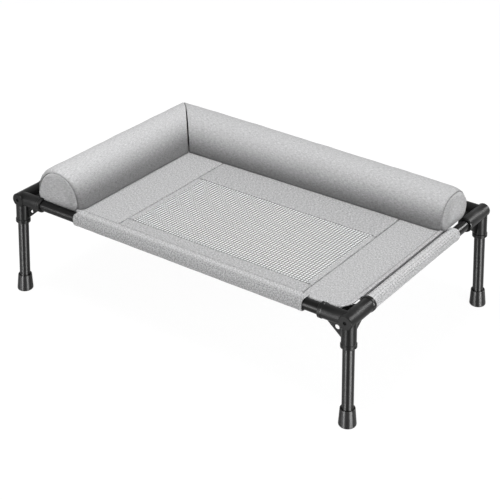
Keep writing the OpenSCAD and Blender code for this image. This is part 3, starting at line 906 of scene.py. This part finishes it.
net_points, net_faces, net_uv = np.zeros((0, 3)), [], []
for made, turned in (
    (yarns(NET_Y, NET_X, net_left, net_right, mesh_low.y, mesh_high.y, 0.0), False),
    (yarns(NET_X, NET_Y, mesh_low.y, mesh_high.y, net_left, net_right, np.pi), True),
):
    points, *rest = made
    sides, ends, uv, end_uv = (block[:, ::-1] if turned else block for block in rest)
    x, y = (points[..., 1], points[..., 0]) if turned else (points[..., 0], points[..., 1])
    spots = np.stack([x, y, sagged(x, y) - NET_DROP + points[..., 2]], -1)
    net_faces += [sides + len(net_points), ends + len(net_points)]
    net_uv += [uv, end_uv]
    net_points = np.concatenate([net_points, spots.reshape(-1, 3)])
net = add_piece("net_yarns", net_points, net_faces, "frame", net_finish, net_uv)
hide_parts("mesh_panel")
back_y = np.linspace(mesh_low.y, mesh_high.y, BACK_GRID[1])[:, None]
back_x = np.linspace(net_left, net_right, BACK_GRID[0])[None]
back_z = sagged(back_x, back_y) - NET_DROP - BACK_GAP
net_back = slab("net_back", back_x, back_y, back_z, back_finish, 0.0, BACK_T)
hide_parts("mesh_panel")
for side, low_x, high_x, seam_x in (
    ("left", mesh_low.x, net_left + BIND_LAP, mesh_low.x),
    ("right", net_right - BIND_LAP, mesh_high.x, mesh_high.x),
):
    y = stations(mesh_low.y, mesh_high.y, PANEL_STEP, FINE[:6])[:, None]
    x = np.linspace(low_x, high_x, BIND_POINTS)[None]
    from_end = np.minimum(y - mesh_low.y, mesh_high.y - y)
    z = sagged(x, y) - seam_groove(np.abs(x - seam_x), y) - seam_groove(from_end, x)
    # Painted shade beside the seams.
    shade = seam_shade(np.abs(x - seam_x), from_end)
    binding = slab(f"net_binding_{side}", x, y, z, deck_canvas, shade)

# Bolster
# Two stuffed rolls of the same canvas, mitred into an L at the back left corner,
# each closed by a sewn end cap. They sit on the deck and lift off for washing.
ROLL_POINTS = 96
ROLL_BASE_POINTS = 18
ROLL_UNDER_POINTS = 12
ROLL_FOOT = 0.012
ROLL_BASE_EDGE = 0.97
ROLL_GAP = 0.0004
roll_base = DECK_TOP + ROLL_GAP
# The roll and cap canvases are the deck's canvas made lighter, as painted light, with painted shade towards
# their feet. The left roll's copy is lighter still, with its painted shade reaching higher up its side; the
# caps' painted shade lies in their bottom few millimetres.
roll_canvas = canvas(
    "bolster_canvas", CANVAS_DARK * 1.1, CANVAS_LIGHT * 1.1, (roll_base + 0.008, roll_base + 0.07), 0.3
)
cap_canvas = canvas(
    "cap_canvas", CANVAS_DARK * 1.17, CANVAS_LIGHT * 1.17, (roll_base - 0.012, roll_base + 0.014), 0.3
)
left_lit_canvas = canvas(
    "left_roll_lit_canvas", CANVAS_DARK * 1.3, CANVAS_LIGHT * 1.3, (roll_base + 0.02, roll_base + 0.08), 0.3
)


def roll_section(inner_full, outer_full, under):
    """Outline of a roll, -1 to 1 across and 0 to 1 up: |across| ** full + up ** full = 1 from the inner foot
    over the top and down to the height under, then a quarter ellipse into a flat base. full differs on the
    two sides."""
    end = np.pi - math.asin(under ** (outer_full / 2))
    angle = np.linspace(ROLL_FOOT * np.pi, end, ROLL_POINTS - ROLL_BASE_POINTS - ROLL_UNDER_POINTS)
    power = np.where(angle < np.pi / 2, 2 / inner_full, 2 / outer_full)
    across = np.sign(np.cos(angle)) * np.abs(np.cos(angle)) ** power
    up = np.sin(angle) ** power
    bend = np.linspace(0, np.pi / 2, ROLL_UNDER_POINTS + 1)[1:]
    under_across = across[-1] + under * (1 - np.cos(bend))
    under_up = under * (1 - np.sin(bend))
    base = np.linspace(across[-1] + under, ROLL_BASE_EDGE, ROLL_BASE_POINTS + 1)[1:]
    return np.concatenate([across, under_across, base]), np.concatenate([up, under_up, 0 * base])


# Each swell has a height, a rate along the roll, a rate round it and a start. Each fan of
# puckers has a height, a number of folds, a number of shifts in them and a reach.
SWELLS = ((0.0002, 70, 3.1, 0.0), (0.00015, 113, -2.3, 1.7), (0.00015, 41, 5.2, 0.6))
MITRE_FAN = (0.00035, 21, 4, 0.02)
SEAM_FAN = (0.0003, 29, 5, 0.016)
FOLD_EASE = 0.006
FOLD_FOOT = 0.25


def soft_folds(run, left, across, up):
    """How far the cover stands out or in: slow swells across it, and puckers that fan out from both seams.
    run is the distance from the mitre, left the distance to the end seam."""
    turn = np.arctan2(up, across)
    fold = sum(high * np.sin(rate * run + twist * turn + start) for high, rate, twist, start in SWELLS)
    for (high, count, shifts, reach), away in ((MITRE_FAN, run), (SEAM_FAN, left)):
        fold = fold + high * np.sin(count * turn + 2 * np.sin(shifts * turn)) * math.exp(-away / reach)
    ease = min(1, run / FOLD_EASE) * min(1, left / FOLD_EASE)
    return fold * np.clip(up / FOLD_FOOT, 0, 1) * ease


def outward(across, inner, outer, drawn=0.0):
    """Distance of a section's points from the roll's line on the deck, with the sides drawn in to the
    crest."""
    return inner - np.where(across > 0, inner, outer) * across * (1 - drawn)


def turned_in(ring, centre, deep, inward):
    """A ring moved into the roll and drawn in by a fixed amount at its sides and top, with its foot kept on
    the deck."""
    along, across, up = ring
    share = 1 - inward / np.abs(across - centre).max()
    return along - deep, centre + (across - centre) * share, up * (1 - inward / up.max())


SWELL_FRAMES = 20
SWELL_QUALITY = 6
SWELL_PRESSURE = 4.0
SWELL_MOST = 0.0016


def swollen(piece, held):
    """Lets the filling press the cover out: cloth with pressure and no weight, held at its seams and its
    base. No point moves further than SWELL_MOST, and the result stays in the mesh."""
    group = piece.vertex_groups.new(name="sewn")
    group.add(np.flatnonzero(held).tolist(), 1.0, "REPLACE")
    cloth = piece.modifiers.new("swell", "CLOTH")
    cloth.settings.vertex_group_mass = "sewn"
    cloth.settings.quality = SWELL_QUALITY
    cloth.settings.use_pressure = True
    cloth.settings.uniform_pressure_force = SWELL_PRESSURE
    cloth.settings.effector_weights.gravity = 0
    cloth.point_cache.frame_end = SWELL_FRAMES
    for step in range(1, SWELL_FRAMES + 1):
        scene.frame_set(step)
    seen = piece.evaluated_get(bpy.context.evaluated_depsgraph_get()).data
    after = np.empty(3 * len(seen.vertices))
    seen.vertices.foreach_get("co", after)
    before = np.empty_like(after)
    piece.data.vertices.foreach_get("co", before)
    move = (after - before).reshape(-1, 3)
    far = np.linalg.norm(move, axis=1, keepdims=True)
    move *= np.minimum(1, SWELL_MOST / np.maximum(far, 1e-9))
    piece.modifiers.remove(cloth)
    piece.vertex_groups.remove(group)
    scene.frame_set(1)
    piece.data.vertices.foreach_set("co", before + move.ravel())
    piece.data.update()


GROOVE_DEEP = 0.0014
GROOVE_IN = 0.0005
MITRE_DEEP = 0.0032
MITRE_WIDE = 0.0013
MITRE_STEPS = (0, 0.0004, 0.0009, 0.0015, 0.0022, 0.0032, 0.005, 0.008)
MITRE_CLEAR = 0.012
# Painted shade, ring by ring, in the mitre's groove and at the end seam.
MITRE_SHADE = (1, 1, 0.8, 0.4, 0.1)
END_SHADE = (0, 0.3, 0.6, 1, 1)
SHOULDER_RINGS = 14
# Each ring of a seam's lip is so deep in the groove and so far inwards, as shares.
ROLL_LIP = ((0.12, 0.4), (0.5, 0.8), (1.0, 1.0))
BASE_HELD = 0.02
MITRE_HELD = 4
END_HELD = 5


def roll(side, finish, count, start, seam_at, place, form, drawn, shoulder):
    """A roll's cover. Its rings go from the slanting mitre, where the cloth is pulled into a narrow groove,
    to a quarter ellipse of a shoulder at the end seam, where it turns in. place takes (along, outwards, up)
    to the cot's own axes. form holds sizes, each at the mitre and at the seam."""
    inner, outer, height, full, outer_full, under = form
    sign = np.sign(seam_at - start.mean())
    end = seam_at - sign * shoulder
    long = abs(end - start.mean())
    rings = []
    for share in np.concatenate([np.array(MITRE_STEPS) / long, np.linspace(MITRE_CLEAR / long, 1, count)]):
        wide, far, tall, power, outer_power, turn = (first + (last - first) * share for first, last in form)
        across, up = roll_section(power, outer_power, turn)
        pulled = MITRE_DEEP * math.exp(-((share * long / MITRE_WIDE) ** 2))
        fold = soft_folds(share * long, (1 - share) * long + shoulder, across, up)
        sides = outward(across, wide, far, (pulled - fold) / wide)
        rings.append((start + (end - start) * share, sides, up * (tall - pulled + fold)))
    across, up = roll_section(full[1], outer_full[1], under[1])
    for angle in np.linspace(0, np.pi / 2, SHOULDER_RINGS)[1:]:
        bent = 1 - math.cos(angle)
        left = shoulder * (1 - math.sin(angle))
        fold = soft_folds(long + shoulder - left, left, across, up)
        sides = outward(across, inner[1], outer[1], drawn[0] * bent - fold / inner[1])
        tall = height[1] * (1 - drawn[1] * bent) + fold
        rings.append((seam_at - sign * left + 0 * start, sides, up * tall))
    seam = rings[-1]
    for deep, inward in ROLL_LIP:
        rings.append(turned_in(seam, inner[1], sign * GROOVE_DEEP * deep, GROOVE_IN * inward))
    spots = np.stack([place(*ring) for ring in rings])
    faces, corner = lattice(len(rings), ROLL_POINTS)
    step = np.hypot(np.diff(across, append=across[0]), np.diff(up, append=up[0]))
    girth = np.concatenate([[0], np.cumsum(step)]) * inner[0]
    axis = np.array([ring[0].mean() for ring in rings])
    uv = np.stack([girth[corner[..., 1]], axis[corner[..., 0]]], -1)
    end_uv = np.stack([across, up], -1)[None] * inner[0]
    # Painted shade at the mitre's groove and the end seam.
    shade = np.zeros(len(rings))
    shade[:len(MITRE_SHADE)] = MITRE_SHADE
    shade[-len(END_SHADE):] = END_SHADE
    piece = add_piece(
        f"bolster_{side}_roll", spots, [faces, *end_faces(len(rings), ROLL_POINTS)], "bolster", finish,
        [uv, end_uv, end_uv], np.repeat(shade, ROLL_POINTS),
    )
    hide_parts(*(f"bolster_{side}_{part}" for part in ("cover", "base", "core")))
    ring_of, point_of = np.divmod(np.arange(len(rings) * ROLL_POINTS), ROLL_POINTS)
    sewn = (ring_of < MITRE_HELD) | (ring_of >= len(rings) - END_HELD)
    swollen(piece, sewn | (up[point_of] < BASE_HELD))
    return seam


CAP_LIP = ((1.0, 1.0), (0.5, 1.2), (0.12, 1.6), (0.0, 2.2))
# Painted shade on the cap: in the lip of its groove, as a line beside the seam, and over the rim beside the
# roll's inner side.
CAP_LIP_SHADE = (0.9, 0.9, 0.45, 0.05)
CAP_LINE_SHADE = (0.8, 0.75, 0.6, 0.4, 0.15)
CAP_SIDE_SHADE = 0.45
CAP_SIDE_SHARES = (0.4, 0.95)
CAP_SIDE_REACH = 1.3
CAP_RINGS = 30
CAP_RIM_ROUND = 3.5
CAP_FOOT_ROUND = 36
CAP_DROOP = 0.0028


def end_cap(side, seam, centre, sign, bulge, place, line):
    """The round of canvas that closes a roll: from the bottom of the seam's groove over its lip to a nearly
    flat face with a round rim, out = sqrt(1 - share ** rim), fuller at the foot where the filling settles.
    Shade is painted on the rim beside the inner side of the roll, and as a line all round it by line."""
    rings = []
    for deep, inward in CAP_LIP:
        rings.append(turned_in(seam, centre, sign * GROOVE_DEEP * deep, GROOVE_IN * inward))
    along, across, up = rings[-1]
    middle = up.max() / 2
    rim = CAP_RIM_ROUND + CAP_FOOT_ROUND * (1 - up / up.max()) ** 3
    shares = 1 - np.linspace(0.06, 0.99, CAP_RINGS) ** 2
    for share in shares:
        out = (1 - share ** rim) ** 0.5
        height = middle + (up - middle) * share
        low = 1 - height / up.max()
        rise = bulge[0] * (1 + bulge[1] * low ** 2) * out
        sides = centre + (across - centre) * share
        rings.append((along + sign * rise, sides, height - CAP_DROOP * out ** 3 * np.maximum(low, 0) ** 6))
    spots = np.stack([place(*ring) for ring in rings])
    faces, corner = lattice(len(rings), ROLL_POINTS)
    flat = np.stack([np.stack([ring[2], ring[1]], -1) for ring in rings])
    flat = np.concatenate([flat, flat[:, :1]], 1)
    uv = flat[corner[..., 0], corner[..., 1]]
    # Painted shade on the lip and rim.
    inner_side = np.clip(CAP_SIDE_REACH - rings[0][1] / centre, 0, 1)
    lip = len(CAP_LIP)
    shade = np.zeros((len(rings), ROLL_POINTS))
    shade[:lip] = np.array(CAP_LIP_SHADE)[:, None]
    shade[lip - 1] += CAP_SIDE_SHADE * inner_side
    shade[lip:] += CAP_SIDE_SHADE * np.interp(shares, CAP_SIDE_SHARES, (0, 1))[:, None] * inner_side
    beside = slice(lip - 1, lip - 1 + len(CAP_LINE_SHADE))
    shade[beside] = np.maximum(shade[beside], line * np.array(CAP_LINE_SHADE)[:, None])
    piece = add_piece(
        f"bolster_{side}_round", spots, [faces, *end_faces(len(rings), ROLL_POINTS)], "bolster", cap_canvas,
        [uv, flat[None, 0, :-1], flat[None, -1, :-1]], shade,
    )
    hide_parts(f"bolster_{side}_cap")


LEFT_LINE = -0.2372
BACK_LINE = 0.1033


def left_place(along, out, up):
    """Points of the left roll, which runs along y, in the cot's own axes."""
    return np.stack([LEFT_LINE - out, along, roll_base + up], -1)


def back_place(along, out, up):
    """Points of the back roll, which runs along x, in the cot's own axes."""
    return np.stack([along, BACK_LINE + out, roll_base + up], -1)


LEFT_INNER = (0.0612, 0.0636)
LEFT_OUTER = (0.0612, 0.0626)
LEFT_HEIGHT = (0.0692, 0.0697)
LEFT_FULL = (2.2, 2.2)
LEFT_OUTER_FULL = (2.2, 2.2)
LEFT_UNDER = (0.2, 0.2)
LEFT_DRAWN = (0.19, 0.09)
LEFT_SHOULDER = 0.015
LEFT_BULGE = (0.0045, 1.3)
LEFT_RINGS = 64
FRONT_SEAM_Y = -0.2335
BACK_INNER = (0.0696, 0.0596)
BACK_OUTER = (0.0610, 0.0554)
BACK_HEIGHT = (0.0691, 0.0643)
BACK_FULL = (2.2, 2.7)
BACK_OUTER_FULL = (2.2, 2.15)
BACK_UNDER = (0.2, 0.5)
BACK_DRAWN = (0.105, 0.06)
BACK_SHOULDER = 0.024
BACK_BULGE = (0.0082, 0.2)
BACK_RINGS = 104
RIGHT_SEAM_X = 0.3735
mitre_across = roll_section(LEFT_FULL[0], LEFT_OUTER_FULL[0], LEFT_UNDER[0])[0]
left_seam = roll(
    "left", left_lit_canvas, LEFT_RINGS, BACK_LINE + outward(mitre_across, BACK_INNER[0], BACK_OUTER[0]),
    FRONT_SEAM_Y, left_place,
    (LEFT_INNER, LEFT_OUTER, LEFT_HEIGHT, LEFT_FULL, LEFT_OUTER_FULL, LEFT_UNDER), LEFT_DRAWN, LEFT_SHOULDER,
)
back_seam = roll(
    "back", roll_canvas, BACK_RINGS, LEFT_LINE - outward(mitre_across, LEFT_INNER[0], LEFT_OUTER[0]),
    RIGHT_SEAM_X, back_place,
    (BACK_INNER, BACK_OUTER, BACK_HEIGHT, BACK_FULL, BACK_OUTER_FULL, BACK_UNDER), BACK_DRAWN, BACK_SHOULDER,
)
end_cap("front", left_seam, LEFT_INNER[1], -1, LEFT_BULGE, left_place, 0.0)
end_cap("right", back_seam, BACK_INNER[1], 1, BACK_BULGE, back_place, 1.0)

# Hook and loop strips
# Short woven strips sewn under the rolls and onto the deck, which hold the
# bolster in place.
FUZZ_DARK = (0.16, 0.16, 0.165)
FUZZ_LIGHT = (0.32, 0.32, 0.325)
strip_finish = speckled(
    "hook_and_loop", 1600.0, FUZZ_DARK, FUZZ_LIGHT, 0.95, relief=0.8, high=0.0006, detail=3.0
)
dressed(strip_finish, "loop_strips", "hook_strips")
